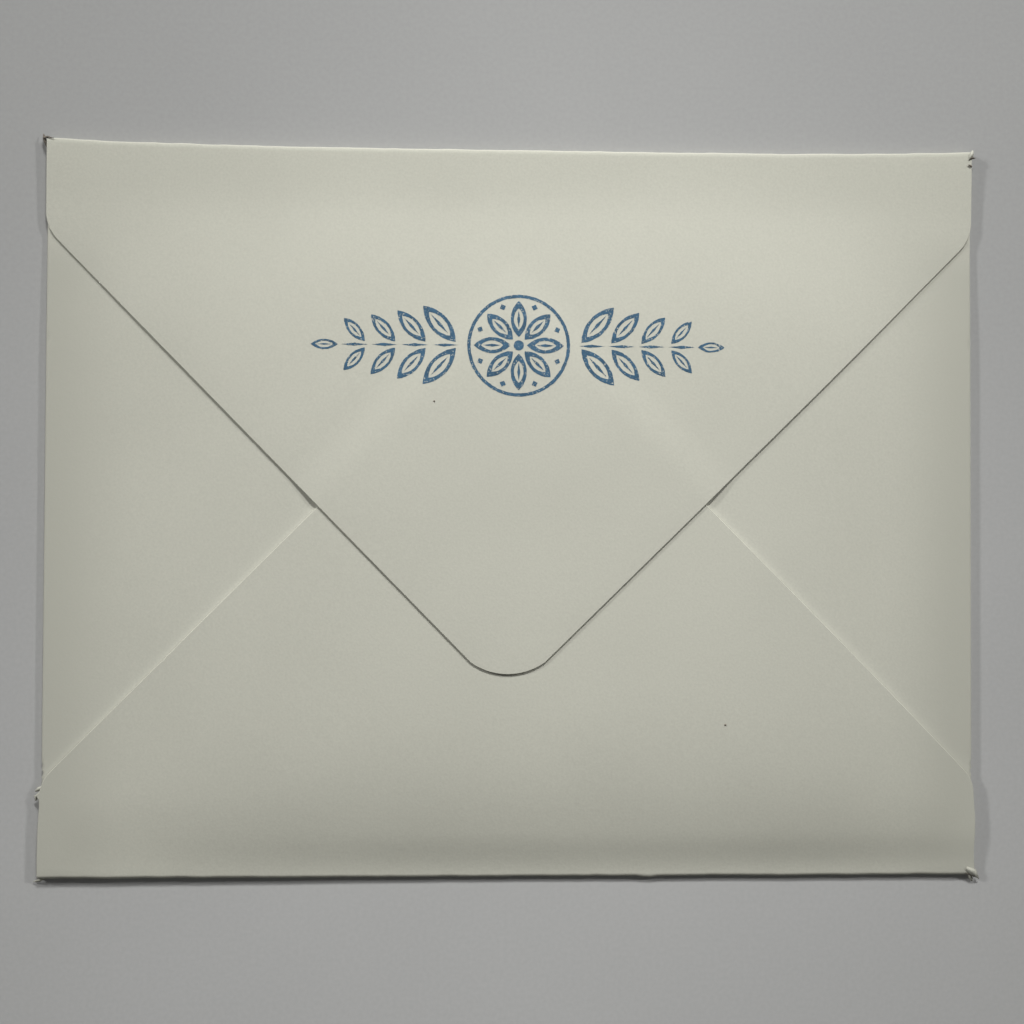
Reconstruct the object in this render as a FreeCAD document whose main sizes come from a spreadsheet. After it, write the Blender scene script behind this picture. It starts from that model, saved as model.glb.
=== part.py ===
"""A closed paper envelope, folded from one square sheet turned by 45 degrees.

The frame has its origin at the middle of the front panel's underside, with +X along the envelope's
width, +Y towards the fold of the closing flap and +Z up out of the flap side. All sizes are in
millimetres.

From the table up the layers are the front panel, the two side flaps, the seam flap that is glued over
them and the closing flap. The layers of the back share one gentle crown, which dies out at the folds.
"""

import FreeCAD, Part
import math
import os

import Sketcher
from FreeCAD import Placement, Rotation, Vector

# Driving sizes

SIZES = {
    # The folded envelope, outside its folds
    "envelope_width": 146.05,
    "envelope_height": 114.3,
    # The sheet, and the room between its layers
    "sheet_thickness": 0.2,
    "pocket_gap": 0.5,
    "layer_gap": 0.15,
    "corner_slit": 0.3,
    # The crown of the back, how far its crest lies right of and below the middle, and how steeply it
    # leaves each fold
    "crown_rise": 2.6,
    "crest_shift": 6.0,
    "crest_drop": 4.0,
    "left_steepness": 5.0,
    "right_steepness": 6.6,
    "seam_steepness": 8.0,
    "closing_steepness": 4.0,
    # The flaps: straight edge beside each fold, rounding at its end, and rounded tip
    "shoulder_length": 13.51,
    "seam_shoulder_length": 14.85,
    "shoulder_radius": 6.0,
    "tip_radius": 10.0,
    "tip_half_chord": 5.78,
    "closing_tip_margin": 31.7,
    "seam_tip_margin": 30.4,
    "side_tip_margin": 6.3,
    "closing_flap_overhang": 0.1,
    "seam_flap_overhang": 0.4,
    # The two strips of glue under the seam flap's slanted edges, each a little thinner than its gap
    "glue_clearance": 0.02,
    "glue_width": 6.0,
    "glue_inset": 1.5,
    "glue_start": 6.0,
    "glue_length": 58.0,
    # The stamped ornament: a rosette between two sprigs of leaves
    "ink_thickness": 0.05,
    "ink_stroke": 0.5,
    "ornament_offset": 0.5,
    "ornament_drop": 31.5,
    "rosette_radius": 8.0,
    "petal_count": 8,
    "petal_width": 2.5,
    "hub_radius": 0.8,
    "sprig_length": 23.5,
    "sprig_gap": 1.3,
    "leaf_pairs": 4,
    "leaf_length": 7.6,
    "leaf_width": 2.9,
    "leaf_angle": 48.0,
    "leaf_shrink": 0.86,
}

# Heights above the table and radii of the folds, as expressions of the sizes

SIDE_LEVEL = "(sizes.sheet_thickness + sizes.pocket_gap)"
LAYER_STEP = "(sizes.sheet_thickness + sizes.layer_gap)"
SEAM_LEVEL = f"({SIDE_LEVEL} + {LAYER_STEP})"
CLOSING_LEVEL = f"({SEAM_LEVEL} + {LAYER_STEP})"
SIDE_FOLD = f"(({SIDE_LEVEL} + sizes.sheet_thickness) / 2)"
SEAM_FOLD = f"(({SEAM_LEVEL} + sizes.sheet_thickness) / 2)"
CLOSING_FOLD = f"(({CLOSING_LEVEL} + sizes.sheet_thickness) / 2)"

# Places of the folds in plan

HALF_WIDTH = "(sizes.envelope_width / 2)"
HALF_HEIGHT = "(sizes.envelope_height / 2)"
PANEL_SIDE = f"({HALF_WIDTH} - {SIDE_FOLD})"
PANEL_BOTTOM = f"({HALF_HEIGHT} - {SEAM_FOLD})"
PANEL_TOP = f"({HALF_HEIGHT} - {CLOSING_FOLD})"
SIDE_EDGE = f"({PANEL_TOP} - sizes.corner_slit)"
SEAM_EDGE = f"({HALF_WIDTH} + sizes.seam_flap_overhang)"
CLOSING_EDGE = f"({HALF_WIDTH} + sizes.closing_flap_overhang)"

# Each layer is cut from a slab that reaches past the folds and the crown by this much
SLAB_MARGIN = 2.0

# The crown's curve passes through its exact height at these shares of the way from a fold to the crest
RISE_STATIONS = (0.0, 0.05, 0.12, 0.22, 0.38, 0.6, 1.0)

# In the print, a vein's share of its hollow leaf, and a stem mark's share and place between two leaf pairs
VEIN_SHARE = 0.8
STEM_SHARE = 0.85
STEM_CENTRE = 0.45

doc = FreeCAD.newDocument("paper_envelope")


def make_sheet():
    """The spreadsheet of driving sizes, one alias for each."""
    sheet = doc.addObject("Spreadsheet::Sheet", "sizes")
    for row, (alias, size) in enumerate(SIZES.items(), start=1):
        sheet.set(f"A{row}", alias)
        sheet.set(f"B{row}", str(size))
        sheet.setAlias(f"B{row}", alias)
    doc.recompute()


make_sheet()
reader = doc.addObject("App::FeaturePython", "reader")


def value(expression):
    """The present value of an expression of the sizes."""
    return float(reader.evalExpression(expression))


def bind(item, **expressions):
    """Ties properties of a document object to expressions of the sizes."""
    for name, expression in expressions.items():
        item.setExpression(name, expression)


def place(item, x, y, z, rotation=None):
    """Turns an object, and ties its position to expressions of the sizes."""
    item.Placement = Placement(Vector(), rotation or Rotation())
    for axis, expression in zip("xyz", (x, y, z)):
        item.setExpression(f"Placement.Base.{axis}", expression)


# The folded sheet


def make_panel():
    """The front panel, which lies on the table between the tangent lines of the folds."""
    panel = doc.addObject("Part::Box", "front_panel")
    bind(
        panel,
        Length=f"2 * {PANEL_SIDE}",
        Width=f"{PANEL_BOTTOM} + {PANEL_TOP}",
        Height="sizes.sheet_thickness",
    )
    place(panel, f"-{PANEL_SIDE}", f"-{PANEL_BOTTOM}", "0")
    return panel


def make_fold(name, radius, length, x, y, outward):
    """Half a tube along one fold, bulging to the side that outward points to."""
    halves = []
    for part, size in (("outer", radius), ("inner", f"{radius} - sizes.sheet_thickness")):
        half = doc.addObject("Part::Cylinder", f"{name}_{part}")
        half.Angle = 180
        bind(half, Radius=size, Height=length)
        up = Vector(0, 0, 1)
        place(half, x, y, radius, Rotation(up, outward, up.cross(outward), "XYZ"))
        halves.append(half)
    fold = doc.addObject("Part::Cut", name)
    fold.Base, fold.Tool = halves
    return fold


def corner_tangent(first, corner, last, radius):
    """The arc that rounds a corner: where it leaves the first leg, meets the last, and its centre."""
    back = (first - corner).normalize()
    ahead = (last - corner).normalize()
    half_angle = back.getAngle(ahead) / 2
    reach = radius / math.tan(half_angle)
    middle = (back + ahead).normalize()
    return corner + back * reach, corner + ahead * reach, corner + middle * (radius / math.sin(half_angle))


def arc_between(centre, radius, start, end):
    """An arc about a centre, anticlockwise from one point to another."""
    turn = [math.atan2(point.y - centre.y, point.x - centre.x) for point in (start, end)]
    return Part.ArcOfCircle(Part.Circle(centre, Vector(0, 0, 1), radius), *turn)


def make_outline(name, fold, half_width, shoulder_length, reach, x, y, turn):
    """The sketch of one flap: fold along X, tip towards +Y and origin on the fold's outside."""
    inset, half, top, shoulder, radius, tip_radius, chord = (
        value(size)
        for size in (
            fold,
            half_width,
            reach,
            shoulder_length,
            "sizes.shoulder_radius",
            "sizes.tip_radius",
            "sizes.tip_half_chord",
        )
    )
    centre = Vector(0, top - tip_radius)
    tip_right = Vector(chord, centre.y + math.sqrt(tip_radius**2 - chord**2))
    tip_left = Vector(-chord, tip_right.y)
    base_right, corner_right = Vector(half, inset), Vector(half, shoulder)
    base_left, corner_left = Vector(-half, inset), Vector(-half, shoulder)
    low_right, high_right, hub_right = corner_tangent(base_right, corner_right, tip_right, radius)
    low_left, high_left, hub_left = corner_tangent(base_left, corner_left, tip_left, radius)

    sketch = doc.addObject("Sketcher::SketchObject", name)
    outline = [
        Part.LineSegment(base_left, base_right),
        Part.LineSegment(base_right, low_right),
        arc_between(hub_right, radius, low_right, high_right),
        Part.LineSegment(high_right, tip_right),
        arc_between(centre, tip_radius, tip_right, tip_left),
        Part.LineSegment(tip_left, high_left),
        arc_between(hub_left, radius, high_left, low_left),
        Part.LineSegment(low_left, base_left),
    ]
    fold_line, side_right, round_right, slant_right, tip, slant_left, round_left, side_left = range(8)
    sketch.addGeometry(outline, False)
    mark_right, mark_left = sketch.addGeometry([Part.Point(corner_right), Part.Point(corner_left)], True)

    start, end, middle = 1, 2, 3
    x_axis, y_axis = -1, -2

    rules = [
        ("Coincident", fold_line, end, side_right, start),
        ("Tangent", side_right, end, round_right, start),
        ("Tangent", round_right, end, slant_right, start),
        ("Coincident", slant_right, end, tip, start),
        ("Coincident", tip, end, slant_left, start),
        ("Tangent", slant_left, end, round_left, start),
        ("Tangent", round_left, end, side_left, start),
        ("Coincident", side_left, end, fold_line, start),
        ("Vertical", side_right),
        ("Vertical", side_left),
        ("Symmetric", fold_line, start, fold_line, end, y_axis),
        ("Symmetric", tip, start, tip, end, y_axis),
        ("PointOnObject", tip, middle, y_axis),
        ("Equal", round_right, round_left),
        ("PointOnObject", mark_right, start, side_right),
        ("PointOnObject", mark_right, start, slant_right),
        ("PointOnObject", mark_left, start, slant_left),
        ("Symmetric", mark_left, start, mark_right, start, y_axis),
    ]
    for rule in rules:
        sketch.addConstraint(Sketcher.Constraint(*rule))
    driven = [
        ("inset", ("DistanceY", x_axis, start, fold_line, start, inset), fold),
        ("width", ("DistanceX", fold_line, start, fold_line, end, 2 * half), f"2 * {half_width}"),
        ("shoulder", ("DistanceY", x_axis, start, mark_right, start, shoulder), shoulder_length),
        ("rounding", ("Radius", round_right, radius), "sizes.shoulder_radius"),
        ("tip_radius", ("Radius", tip, tip_radius), "sizes.tip_radius"),
        ("tip_chord", ("DistanceX", tip, end, tip, start, 2 * chord), "2 * sizes.tip_half_chord"),
        ("tip_centre", ("DistanceY", x_axis, start, tip, middle, centre.y), f"{reach} - sizes.tip_radius"),
    ]
    for label, rule, expression in driven:
        index = sketch.addConstraint(Sketcher.Constraint(*rule))
        sketch.renameConstraint(index, label)
        sketch.setExpression(f"Constraints.{label}", expression)
    place(sketch, x, y, "0", Rotation(Vector(0, 0, 1), turn))
    return sketch


def make_flap(name, slab, outline):
    """A flap: its outline drawn up through the slab of its layer."""
    prism = doc.addObject("Part::Extrusion", f"{name}_prism")
    prism.Base = make_outline(f"{name}_outline", *outline)
    prism.DirMode = "Custom"
    prism.Dir = Vector(0, 0, 1)
    prism.Solid = True
    bind(prism, LengthFwd=f"{CLOSING_LEVEL} + sizes.crown_rise + {SLAB_MARGIN}")
    flap = doc.addObject("Part::Common", name)
    flap.Base, flap.Tool = slab, prism
    return flap


# The crown


def rise_share(along, steepness):
    """Share of the crown at a share of the way from a fold to the crest, level at both ends."""
    return 1 - (1 - along) ** steepness * (1 + steepness * along)


def rise_curve(low, crest, high, low_steepness, high_steepness):
    """The crown's height across the back, as a share of its greatest, from one fold to the other."""
    points = []
    for along in RISE_STATIONS:
        points.append(Vector(low + (crest - low) * along, rise_share(along, low_steepness)))
    for along in reversed(RISE_STATIONS[:-1]):
        points.append(Vector(high - (high - crest) * along, rise_share(along, high_steepness)))
    places = [point.x for point in points]
    level = Vector(1, 0, 0)
    curve = Part.BSplineCurve()
    curve.interpolate(
        Points=points, Parameters=places, InitialTangent=level, FinalTangent=level, Scale=False
    )
    return curve


def crown_face():
    """The crown as one smooth face between the folds, at height 0 along all four of them."""
    rise_x = rise_curve(
        -value(PANEL_SIDE),
        value("sizes.crest_shift"),
        value(PANEL_SIDE),
        value("sizes.left_steepness"),
        value("sizes.right_steepness"),
    )
    rise_y = rise_curve(
        -value(PANEL_BOTTOM),
        -value("sizes.crest_drop"),
        value(PANEL_TOP),
        value("sizes.seam_steepness"),
        value("sizes.closing_steepness"),
    )
    height = value("sizes.crown_rise")
    poles = []
    for across in rise_x.getPoles():
        poles.append([Vector(across.x, up.x, height * across.y * up.y) for up in rise_y.getPoles()])
    surface = Part.BSplineSurface()
    surface.buildFromPolesMultsKnots(
        poles,
        rise_x.getMultiplicities(),
        rise_y.getMultiplicities(),
        rise_x.getKnots(),
        rise_y.getKnots(),
        False,
        False,
        rise_x.Degree,
        rise_y.Degree,
    )
    return surface.toShape()


def make_slab(name, level, thickness):
    """One layer over the whole back, crowned between the folds and flat over the side folds."""
    bottom, depth = value(level), value(thickness)
    side, low, high = value(PANEL_SIDE), value(PANEL_BOTTOM), value(PANEL_TOP)
    shape = crown_face().extrude(Vector(0, 0, depth))
    strip_width = value(SEAM_EDGE) - side + SLAB_MARGIN
    strips = [
        Part.makeBox(strip_width, low + high, depth, Vector(start, -low, 0))
        for start in (side, -side - strip_width)
    ]
    slab = doc.addObject("Part::Feature", name)
    slab.Shape = shape.fuse(strips)
    slab.Placement = Placement(Vector(0, 0, bottom), Rotation())
    return slab


def make_envelope():
    """The whole sheet: front panel, four folds and four flaps, as one solid."""
    pieces = [make_panel()]
    left, right = Vector(-1, 0, 0), Vector(1, 0, 0)
    down, up = Vector(0, -1, 0), Vector(0, 1, 0)
    pieces += [
        make_fold("left_fold", SIDE_FOLD, f"2 * {SIDE_EDGE}", f"-{PANEL_SIDE}", SIDE_EDGE, left),
        make_fold("right_fold", SIDE_FOLD, f"2 * {SIDE_EDGE}", PANEL_SIDE, f"-{SIDE_EDGE}", right),
        make_fold("seam_fold", SEAM_FOLD, f"2 * {SEAM_EDGE}", f"-{SEAM_EDGE}", f"-{PANEL_BOTTOM}", down),
        make_fold("closing_fold", CLOSING_FOLD, f"2 * {CLOSING_EDGE}", CLOSING_EDGE, PANEL_TOP, up),
    ]
    side_slab = make_slab("side_layer", SIDE_LEVEL, "sizes.sheet_thickness")
    seam_slab = make_slab("seam_layer", SEAM_LEVEL, "sizes.sheet_thickness")
    closing_slab = make_slab("closing_layer", CLOSING_LEVEL, "sizes.sheet_thickness")
    shoulder, seam_shoulder = "sizes.shoulder_length", "sizes.seam_shoulder_length"
    side_reach = f"{HALF_WIDTH} - sizes.side_tip_margin"
    seam_reach = "sizes.envelope_height - sizes.seam_tip_margin"
    closing_reach = "sizes.envelope_height - sizes.closing_tip_margin"
    left_outline = (SIDE_FOLD, SIDE_EDGE, shoulder, side_reach, f"-{HALF_WIDTH}", "0", -90)
    right_outline = (SIDE_FOLD, SIDE_EDGE, shoulder, side_reach, HALF_WIDTH, "0", 90)
    seam_outline = (SEAM_FOLD, SEAM_EDGE, seam_shoulder, seam_reach, "0", f"-{HALF_HEIGHT}", 0)
    closing_outline = (CLOSING_FOLD, CLOSING_EDGE, shoulder, closing_reach, "0", HALF_HEIGHT, 180)
    pieces += [
        make_flap("left_flap", side_slab, left_outline),
        make_flap("right_flap", side_slab, right_outline),
        make_flap("seam_flap", seam_slab, seam_outline),
        make_flap("closing_flap", closing_slab, closing_outline),
    ]
    envelope = doc.addObject("Part::MultiFuse", "envelope_sheet")
    envelope.Shapes = pieces
    envelope.Refine = True
    envelope.Label = "envelope_sheet"
    return envelope


# The glue


def make_glue(side, slab):
    """One strip of glue, between a side flap and the seam flap, along the seam flap's slanted edge."""
    name, across = side
    corner = Vector(across * value(SEAM_EDGE), value("sizes.seam_shoulder_length") - value(HALF_HEIGHT))
    chord, radius = value("sizes.tip_half_chord"), value("sizes.tip_radius")
    tip_drop = radius - math.sqrt(radius**2 - chord**2)
    tip = Vector(across * chord, value(HALF_HEIGHT) - value("sizes.seam_tip_margin") - tip_drop)
    along = (tip - corner).normalize()
    inward = Vector(-across * along.y, across * along.x)
    start, length, inset, width = (
        value(f"sizes.glue_{size}") for size in ("start", "length", "inset", "width")
    )
    first = corner + along * start + inward * inset
    edge = [first, first + along * length, first + along * length + inward * width, first + inward * width]
    prism = doc.addObject("Part::Feature", f"{name}_prism")
    height = value(CLOSING_LEVEL) + value("sizes.crown_rise") + SLAB_MARGIN
    prism.Shape = Part.Face(Part.makePolygon(edge + [first])).extrude(Vector(0, 0, height))
    strip = doc.addObject("Part::Common", name)
    strip.Base, strip.Tool = slab, prism
    strip.Label = name
    return strip


# The stamped ornament


def leaf_face(root, angle, length, width):
    """A pointed leaf from a root, made of two arcs that meet at its tips."""
    along = Vector(math.cos(angle), math.sin(angle))
    across = Vector(-along.y, along.x)
    tip = root + along * length
    middle = root + along * (length / 2)
    bulge = across * (width / 2)
    sides = [Part.Arc(root, middle + bulge, tip), Part.Arc(tip, middle - bulge, root)]
    return Part.Face(Part.Wire([side.toShape() for side in sides]))


def diamond_face(centre, angle, length, width):
    """A four-cornered dot or vein about a centre, with its length along an angle."""
    along = Vector(math.cos(angle), math.sin(angle)) * (length / 2)
    across = Vector(-math.sin(angle), math.cos(angle)) * (width / 2)
    corners = [centre + along, centre + across, centre - along, centre - across]
    return Part.Face(Part.makePolygon(corners + corners[:1]))


def outlined_leaf(root, angle, length, width, stroke):
    """A leaf drawn as an outline, with a slim diamond in it for a vein."""
    along = Vector(math.cos(angle), math.sin(angle))
    inset = stroke * length / width
    hollow_length = length - 2 * inset
    hollow = leaf_face(root + along * inset, angle, hollow_length, width - 2 * stroke)
    vein = diamond_face(root + along * (length / 2), angle, hollow_length * VEIN_SHARE, stroke)
    return [leaf_face(root, angle, length, width).cut(hollow), vein]


def disc_face(centre, radius):
    """A filled round."""
    return Part.Face(Part.Wire(Part.makeCircle(radius, centre)))


def rosette_faces(centre, stroke):
    """Petals about a dot, inside a ring."""
    radius, hub = value("sizes.rosette_radius"), value("sizes.hub_radius")
    count = int(value("sizes.petal_count"))
    width = value("sizes.petal_width")
    inner = radius - stroke
    faces = [disc_face(centre, radius).cut(disc_face(centre, inner)), disc_face(centre, hub)]
    petal_start = hub + stroke
    petal_length = inner - stroke - petal_start
    dot = 2 * stroke
    for step in range(count):
        angle = 2 * math.pi * step / count
        along = Vector(math.cos(angle), math.sin(angle))
        faces += outlined_leaf(centre + along * petal_start, angle, petal_length, width, stroke)
        between = angle + math.pi / count
        spot = Vector(math.cos(between), math.sin(between)) * (inner - dot)
        faces.append(diamond_face(centre + spot, between, dot, dot))
    return faces


def sprig_faces(centre, side, stroke):
    """A straight stem from beside the rosette, with leaves in pairs that shrink towards a last leaf."""
    pairs = int(value("sizes.leaf_pairs"))
    shrink = value("sizes.leaf_shrink")
    length, width = value("sizes.leaf_length"), value("sizes.leaf_width")
    lean = math.radians(value("sizes.leaf_angle"))
    stem_start = value("sizes.rosette_radius") + value("sizes.sprig_gap")
    pitch = value("sizes.sprig_length") / (pairs + 1)
    heading = 0 if side > 0 else math.pi
    faces = []
    for step in range(pairs):
        scale = shrink**step
        root = centre + Vector(side * (stem_start + pitch * step), 0)
        stem = root + Vector(side * pitch * STEM_CENTRE, 0)
        faces.append(diamond_face(stem, heading, pitch * STEM_SHARE, stroke))
        for turn in (1, -1):
            offset = Vector(side * stroke, turn * stroke)
            angle = heading + side * turn * lean
            faces += outlined_leaf(root + offset, angle, length * scale, width * scale, stroke * scale)
    end_scale = shrink**pairs
    root = centre + Vector(side * (stem_start + pitch * pairs), 0)
    faces += outlined_leaf(root, heading, length * end_scale, width * end_scale, stroke * end_scale)
    return faces


def make_ornament(slab):
    """The print: a thin film of ink over the crowned face of the closing flap."""
    stroke = value("sizes.ink_stroke")
    centre = Vector(value("sizes.ornament_offset"), value(HALF_HEIGHT) - value("sizes.ornament_drop"))
    faces = rosette_faces(centre, stroke)
    for side in (1, -1):
        faces += sprig_faces(centre, side, stroke)
    height = value(CLOSING_LEVEL) + value("sizes.crown_rise") + SLAB_MARGIN
    figure = doc.addObject("Part::Feature", "ornament_prisms")
    figure.Shape = faces[0].multiFuse(faces[1:]).removeSplitter().extrude(Vector(0, 0, height))
    ornament = doc.addObject("Part::Common", "stamped_ornament")
    ornament.Base, ornament.Tool = slab, figure
    ornament.Label = "stamped_ornament"
    return ornament


def check(items):
    """Stops the script if an object failed or a sub-part has no sound shape."""
    for item in doc.Objects:
        if "Invalid" in item.State or "Error" in item.State:
            raise RuntimeError(f"{item.Name} failed: {item.State}")
    for item in items:
        if item.Shape.isNull() or not item.Shape.isValid():
            raise RuntimeError(f"{item.Label} has no valid shape")


def main():
    """Builds the sub-parts, checks them and writes one file for each."""
    glue_depth = "sizes.layer_gap - sizes.glue_clearance"
    glue_slab = make_slab("glue_layer", f"{SIDE_LEVEL} + sizes.sheet_thickness", glue_depth)
    ink_slab = make_slab("ink_layer", f"{CLOSING_LEVEL} + sizes.sheet_thickness", "sizes.ink_thickness")
    parts = [make_envelope()]
    parts += [make_glue(side, glue_slab) for side in (("seam_glue_left", -1), ("seam_glue_right", 1))]
    parts.append(make_ornament(ink_slab))
    doc.recompute()
    check(parts)
    os.makedirs("parts", exist_ok=True)
    for part in parts:
        part.Shape.exportStep(f"parts/{part.Label}.step")
        solids = part.Shape.Solids
        volume = round(part.Shape.Volume, 2)
        print(part.Label, len(solids), "solids", volume, "mm3", part.Shape.BoundBox)


main()
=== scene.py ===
"""The looks of a closed paper envelope, lying with its flap side up.

The whole sheet is one mesh: its flat outline is filled with points and then folded, crowned and
given its thickness. The print and the glue strips are laid over the same surface. Lengths are in
millimetres until a mesh is made.
"""

import math

import bpy
import numpy as np
from mathutils import Euler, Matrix, Vector, kdtree, noise
from mathutils.geometry import delaunay_2d_cdt


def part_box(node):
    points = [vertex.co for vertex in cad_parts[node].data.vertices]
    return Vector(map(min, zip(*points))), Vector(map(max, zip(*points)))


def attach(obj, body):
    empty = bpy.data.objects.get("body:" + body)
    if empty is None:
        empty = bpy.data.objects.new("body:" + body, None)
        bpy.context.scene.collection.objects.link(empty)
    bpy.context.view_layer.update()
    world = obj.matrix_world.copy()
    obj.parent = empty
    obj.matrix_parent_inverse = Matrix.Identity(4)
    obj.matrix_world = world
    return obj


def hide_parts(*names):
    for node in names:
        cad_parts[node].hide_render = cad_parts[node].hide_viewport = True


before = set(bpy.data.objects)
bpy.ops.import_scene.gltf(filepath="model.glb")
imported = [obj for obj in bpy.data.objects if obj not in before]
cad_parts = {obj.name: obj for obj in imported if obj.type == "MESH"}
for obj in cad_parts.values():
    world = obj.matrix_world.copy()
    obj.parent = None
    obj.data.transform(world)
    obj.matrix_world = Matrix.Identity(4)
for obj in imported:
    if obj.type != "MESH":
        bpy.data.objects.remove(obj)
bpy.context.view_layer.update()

MM = 0.001

# The sheet, from the frame and the same sizes as the solids

sheet_low, sheet_high = (Vector(corner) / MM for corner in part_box("envelope_sheet"))
HALF_HEIGHT = sheet_high.y
SEAM_OVERHANG = 0.4
HALF_WIDTH = -sheet_low.x - SEAM_OVERHANG
THICKNESS = 0.2
POCKET_GAP = 0.5
LAYER_GAP = 0.15
CORNER_SLIT = 0.3
CLOSING_OVERHANG = 0.1
SHOULDER_LENGTH = 13.51
SEAM_SHOULDER_LENGTH = 14.6
SHOULDER_RADIUS = 6.0
TIP_RADIUS = 10.0
TIP_HALF_CHORD = 5.78
CLOSING_TIP_MARGIN = 31.7
SEAM_TIP_MARGIN = 30.15
SIDE_TIP_MARGIN = 6.3

# Heights of the middle of each layer, and the folds between them

LAYER_STEP = THICKNESS + LAYER_GAP
PANEL_MIDDLE = THICKNESS / 2
SIDE_MIDDLE = PANEL_MIDDLE + THICKNESS + POCKET_GAP
SEAM_MIDDLE = SIDE_MIDDLE + LAYER_STEP
CLOSING_MIDDLE = SEAM_MIDDLE + LAYER_STEP
CROWN_RISE = sheet_high.z - CLOSING_MIDDLE - THICKNESS / 2

# The crown: where its crest lies and how steeply it leaves each fold
CREST_SHIFT = 6.0
CREST_DROP = 4.0
LEFT_STEEPNESS = 5.0
RIGHT_STEEPNESS = 9.0
SEAM_STEEPNESS = 8.6
SEAM_START = 0.03
CLOSING_STEEPNESS = 4.4

# Beside the crown the back stands a little off the folds too: how high, and over what lengths
SHELF_RISE = 0.5
SHELF_ROLL = 12.0
SHELF_SIDE = 7.0
SHELF_TOP = 40.0

# How finely the mesh is divided, and the room that each new point needs
FLAP_PITCH = 1.3
PANEL_PITCH = 3.0
EDGE_PITCH = 0.8
ARC_PITCH = 0.35
FOLD_PITCH = 1.2
SEAM_PITCH = 0.9
ROW_SHARE = 0.87
FOLD_ROWS = 14
EDGE_ROWS = (0.22, 0.7)
SEAM_ROWS = (-1.6, -0.8, -0.3, 0.0, 0.18, 0.4, 0.7, 1.1, 1.7)
FINE_ROOM = 0.12
GRID_ROOM = 0.55

# The cut edge: how far its outer side is drawn in, and where its ridge stands in the thickness
EDGE_BEVEL = 0.09
RIDGE_SHARE = 0.1


class Fold:
    """One fold: the way it faces in plan, its place, its radius and its flap."""

    def __init__(
        self, name, out, outside, middle, half_width, reach, shoulder=SHOULDER_LENGTH, roundness=1.0
    ):
        self.name = name
        self.out = Vector(out)
        self.side = Vector((-self.out.y, self.out.x))
        self.radius = (middle - PANEL_MIDDLE) / 2
        self.outside = outside
        self.tangent = outside - self.radius - THICKNESS / 2
        self.half_width = half_width
        self.reach = reach
        self.shoulder = shoulder
        self.roundness = roundness
        self.turn = math.pi * self.radius

    def flat(self, plan):
        """Where a point of the folded flap lies on the flat sheet."""
        along = self.side * plan.dot(self.side)
        return along + self.out * (2 * self.tangent + self.turn - plan.dot(self.out))

    def local(self, along, from_fold):
        """A point in plan, from its place along the fold and its distance from the outside."""
        return self.side * along + self.out * (self.outside - from_fold)


SIDE_EDGE = HALF_HEIGHT - (CLOSING_MIDDLE - PANEL_MIDDLE) / 2 - THICKNESS / 2 - CORNER_SLIT
SEAM = Fold(
    "seam",
    (0, -1),
    HALF_HEIGHT,
    SEAM_MIDDLE,
    HALF_WIDTH + SEAM_OVERHANG,
    2 * HALF_HEIGHT - SEAM_TIP_MARGIN,
    SEAM_SHOULDER_LENGTH,
)
CLOSING = Fold(
    "closing",
    (0, 1),
    HALF_HEIGHT,
    CLOSING_MIDDLE,
    HALF_WIDTH + CLOSING_OVERHANG,
    2 * HALF_HEIGHT - CLOSING_TIP_MARGIN,
    roundness=0.3,
)
RIGHT = Fold("right", (1, 0), HALF_WIDTH, SIDE_MIDDLE, SIDE_EDGE, HALF_WIDTH - SIDE_TIP_MARGIN)
LEFT = Fold("left", (-1, 0), HALF_WIDTH, SIDE_MIDDLE, SIDE_EDGE, HALF_WIDTH - SIDE_TIP_MARGIN)
FOLDS = (SEAM, RIGHT, CLOSING, LEFT)

# The seam flap's right slanted edge, in plan
TIP_DROP = TIP_RADIUS - math.sqrt(TIP_RADIUS**2 - TIP_HALF_CHORD**2)
SLANT_LOW = Vector((SEAM.half_width, SEAM_SHOULDER_LENGTH - HALF_HEIGHT))
SLANT_HIGH = Vector((TIP_HALF_CHORD, SEAM.reach - TIP_DROP - HALF_HEIGHT))
SLANT_ALONG = (SLANT_HIGH - SLANT_LOW).normalized()
SLANT_OUT = Vector((SLANT_ALONG.y, -SLANT_ALONG.x))

# Small faults of the real sheet: fold, place in plan, spread, and how far its edge is pushed out
EDGE_MARKS = (
    ("seam", (-73.4, -45.5), 2.2, -0.22),
    ("seam", (-73.4, -54.0), 2.6, 0.05),
    ("seam", (-73.5, -44.4), 0.28, 0.55),
    ("seam", (73.4, -45.0), 1.6, -0.25),
    ("seam", (73.4, -53.4), 1.8, -0.18),
    ("seam", (-53.1, -21.6), 0.35, -0.16),
    ("seam", (-54.3, -23.4), 0.3, -0.14),
)

# How the folds stray from straight lines, and how far from them that is felt
FOLD_BUMP_PLACE = 21.2
FOLD_BUMP_SPREAD = 0.7
FOLD_BUMP_HEIGHT = 0.3
FOLD_WANDER_REACH = 18.0
FOLD_BOW = 0.22
FOLD_FLARE = 0.95
FLARE_POWER = 4
LOW_FOLD_DROP = 0.2
LOW_FOLD_TILT = 0.1
FOLD_RIPPLE = 0.07
FOLD_RIPPLE_REACH = 2.5
RIPPLE_WAVES = ((1.0, 0.35, 2.5), (0.5, 0.9, 7.5))
FLAP_SKEW = 1.05
SKEW_POWER = 1.4
LEAST_SINE = 1e-3

# Where the folded layers are pressed flatter, and by what share of their height
PRESS_TOP = 0.3
PRESS_TOP_SIDE = 48.0
PRESS_TOP_START = 24.0
PRESS_TOP_REACH = 20.0
PRESS_LOW = 0.32
PRESS_LOW_START = 50.2
PRESS_LOW_REACH = 6.0

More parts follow.
